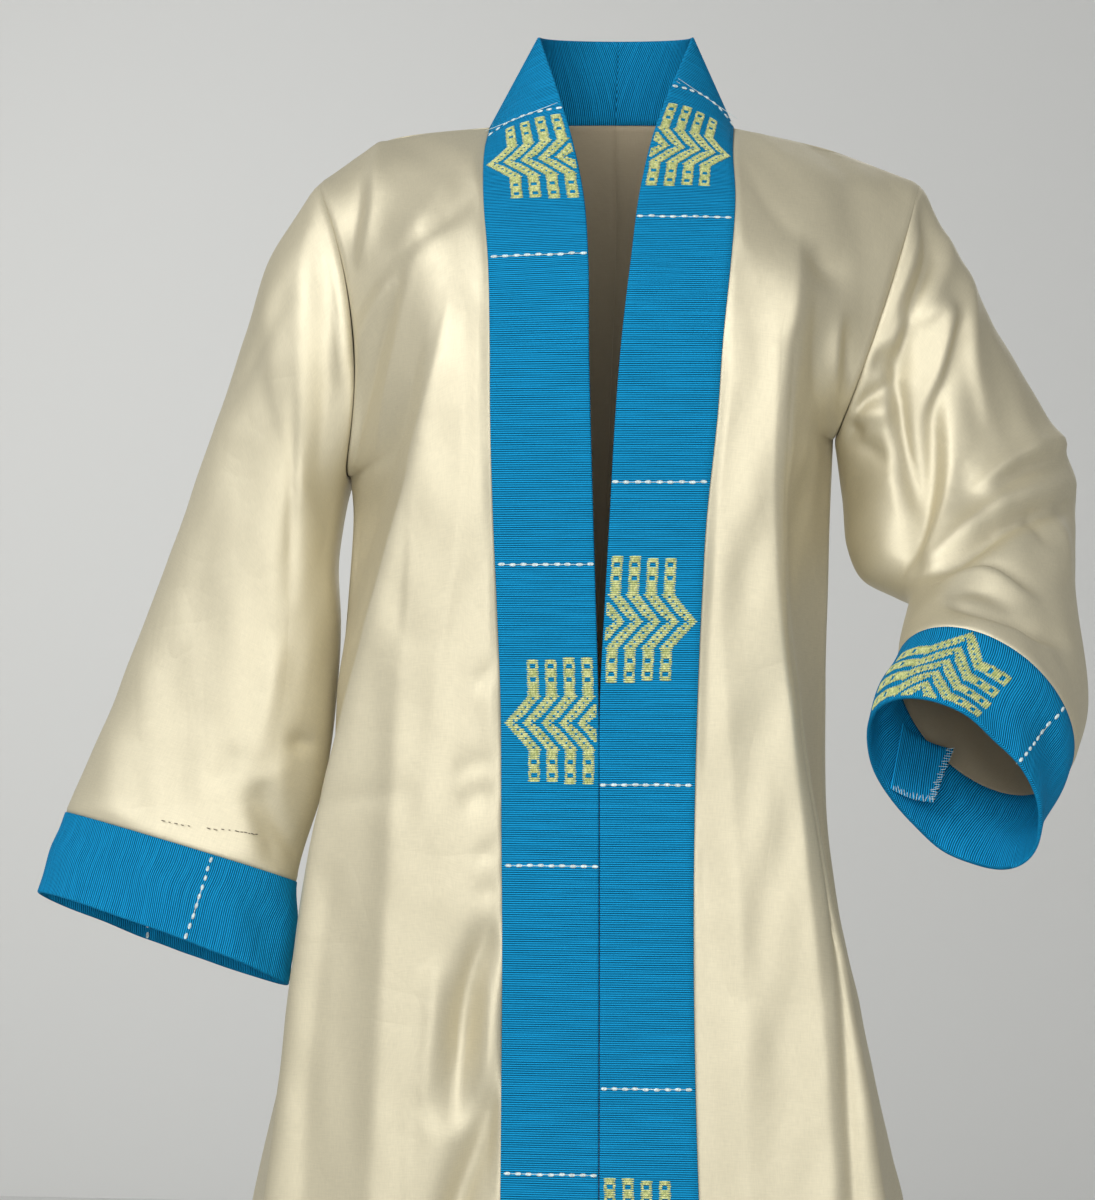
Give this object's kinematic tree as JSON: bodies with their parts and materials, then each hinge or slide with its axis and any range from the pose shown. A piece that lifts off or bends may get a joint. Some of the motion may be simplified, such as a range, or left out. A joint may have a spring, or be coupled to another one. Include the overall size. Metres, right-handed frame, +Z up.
{
  "type": "kimono robe",
  "caption": "Full-length open-front satin robe with set-in sleeves and a folded woven band at the neck, fronts and cuffs, held as worn.",
  "frame": {"origin": "midway between the two points where the shoulder seams meet the neck band, where the wearer's shoulders hold the robe", "axes": "+X towards the wearer's left, +Y towards the wearer's back, +Z up"},
  "size_m": [0.719, 0.385, 1.1792],
  "materials": {
    "satin": "pale gold satin, glossy on the right side and matt on the wrong side",
    "woven_strip": "ribbed blue handwoven strip with pale green and gold inlaid figures and white dotted lines"
  },
  "bodies": {
    "root": {"back_right": "satin", "back_left": "satin", "front_right": "satin", "front_left": "satin", "sleeve_right": "satin", "sleeve_left": "satin", "cuff_right": "woven_strip", "cuff_left": "woven_strip", "band_right": "woven_strip", "band_left": "woven_strip"}
  },
  "joints": []
}
